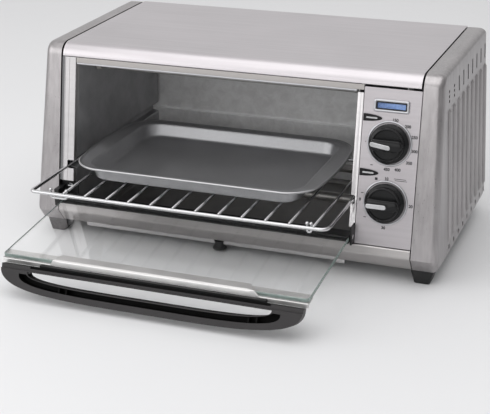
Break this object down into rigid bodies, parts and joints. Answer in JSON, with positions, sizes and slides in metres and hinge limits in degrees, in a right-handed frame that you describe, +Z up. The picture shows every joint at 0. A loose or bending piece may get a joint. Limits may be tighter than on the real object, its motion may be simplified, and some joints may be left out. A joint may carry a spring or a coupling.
{
  "type": "toaster oven",
  "caption": "Countertop toaster oven with a drop-down glass door, a wire rack carrying a bake pan, and a control panel with dials beside the cavity.",
  "frame": {"origin": "on the tabletop, under the centre of the whole object's box with the door open", "axes": "+X to the right of the person facing the door, +Y from the door to the back, +Z up"},
  "size_m": [0.45, 0.4018, 0.212],
  "materials": {
    "brushed_steel": "satin stainless sheet, brushed",
    "galvanised": "zinc-coated sheet with a mottled grain",
    "cavity_side": "dulled, heat-stained sheet",
    "chrome_wire": "bright plated wire",
    "chrome_trim": "bright plated",
    "heater_sheath": "dark oxidised sheath",
    "non_stick": "grey non-stick coating, fine speckle",
    "black_plastic": "satin black",
    "knob_plastic": "semi-gloss black",
    "handle_plastic": "satin charcoal with a fine moulded texture",
    "bezel_metal": "satin grey",
    "ceramic": "off-white ceramic",
    "circuit_board": "green solder mask",
    "display_blue": "lit blue display",
    "door_glass": "clear tempered glass, green at its edges",
    "display_glass": "clear window"
  },
  "bodies": {
    "housing": {"top_cover": "brushed_steel", "right_end_cap": "brushed_steel", "left_end_cap": "brushed_steel", "front_sill": "brushed_steel", "base_plate": "galvanised", "rear_panel": "galvanised", "cord_gland": "black_plastic", "front_right_foot": "black_plastic", "front_left_foot": "black_plastic", "rear_right_foot": "black_plastic", "rear_left_foot": "black_plastic", "header_strip": "galvanised", "left_jamb": "galvanised", "right_jamb": "galvanised", "control_panel": "brushed_steel", "display_bezel": "bezel_metal", "display_lens": "display_glass", "display_screen": "display_blue", "control_board": "circuit_board", "temperature_dial_ring": "chrome_trim", "temperature_badge": "black_plastic", "thermostat": "black_plastic", "timer_dial_ring": "chrome_trim", "timer_badge": "black_plastic", "timer_drive": "black_plastic", "left_cavity_wall": "cavity_side", "right_cavity_wall": "cavity_side", "cavity_ceiling": "galvanised", "cavity_rear_wall": "galvanised", "upper_front_heater": "heater_sheath", "upper_rear_heater": "heater_sheath", "upper_left_heater_support": "ceramic", "upper_right_heater_support": "ceramic", "lower_front_heater": "heater_sheath", "lower_rear_heater": "heater_sheath", "lower_left_heater_support": "ceramic", "lower_right_heater_support": "ceramic", "left_hinge_bracket": "black_plastic", "left_hinge_screw": "chrome_trim", "right_hinge_bracket": "black_plastic"},
    "door": {"door_glass": "door_glass", "hinge_rail": "black_plastic", "left_hinge_pin": "chrome_trim", "right_hinge_pin": "chrome_trim", "door_trim": "brushed_steel", "door_handle": "handle_plastic"},
    "rack": {"rack": "chrome_wire", "left_pull_hook": "chrome_wire", "right_pull_hook": "chrome_wire"},
    "pan": {"bake_pan": "non_stick"},
    "temperature_control": {"temperature_knob": "knob_plastic", "temperature_pointer": "chrome_trim", "temperature_shaft": "chrome_trim"},
    "timer_control": {"timer_knob": "knob_plastic", "timer_pointer": "chrome_trim", "timer_shaft": "chrome_trim"},
    "tray": {"crumb_tray": "galvanised", "crumb_tray_knob": "black_plastic"}
  },
  "joints": [
    {"name": "door_hinge", "type": "hinge", "parent": "housing", "child": "door", "pos_m": [0, -0.04527, 0.0485], "axis": [-1, 0, 0], "range_deg": [0, 104.6]},
    {"name": "rack_slide", "type": "slide", "parent": "housing", "child": "rack", "axis": [0, 1, 0], "range_m": [0, 0.1045]},
    {"name": "pan_lift", "type": "slide", "parent": "rack", "child": "pan", "axis": [0, 0, 1], "range_m": [0, 0.05]},
    {"name": "temperature_turn", "type": "hinge", "parent": "housing", "child": "temperature_control", "pos_m": [0.1675, -0.02355, 0.1432], "axis": [0, 0.9851, -0.1719], "range_deg": [0, 270]},
    {"name": "timer_turn", "type": "hinge", "parent": "housing", "child": "timer_control", "pos_m": [0.1675, -0.03381, 0.0844], "axis": [0, 0.9851, -0.1719], "range_deg": [0, 300]},
    {"name": "crumb_tray_hinge", "type": "hinge", "parent": "housing", "child": "tray", "pos_m": [0, 0.17673, 0.0136], "axis": [1, 0, 0], "range_deg": [0, 70]}
  ],
  "couplings": [
    {"joint": "rack_slide", "follows": "door_hinge", "m_per_rad": 0.057}
  ]
}
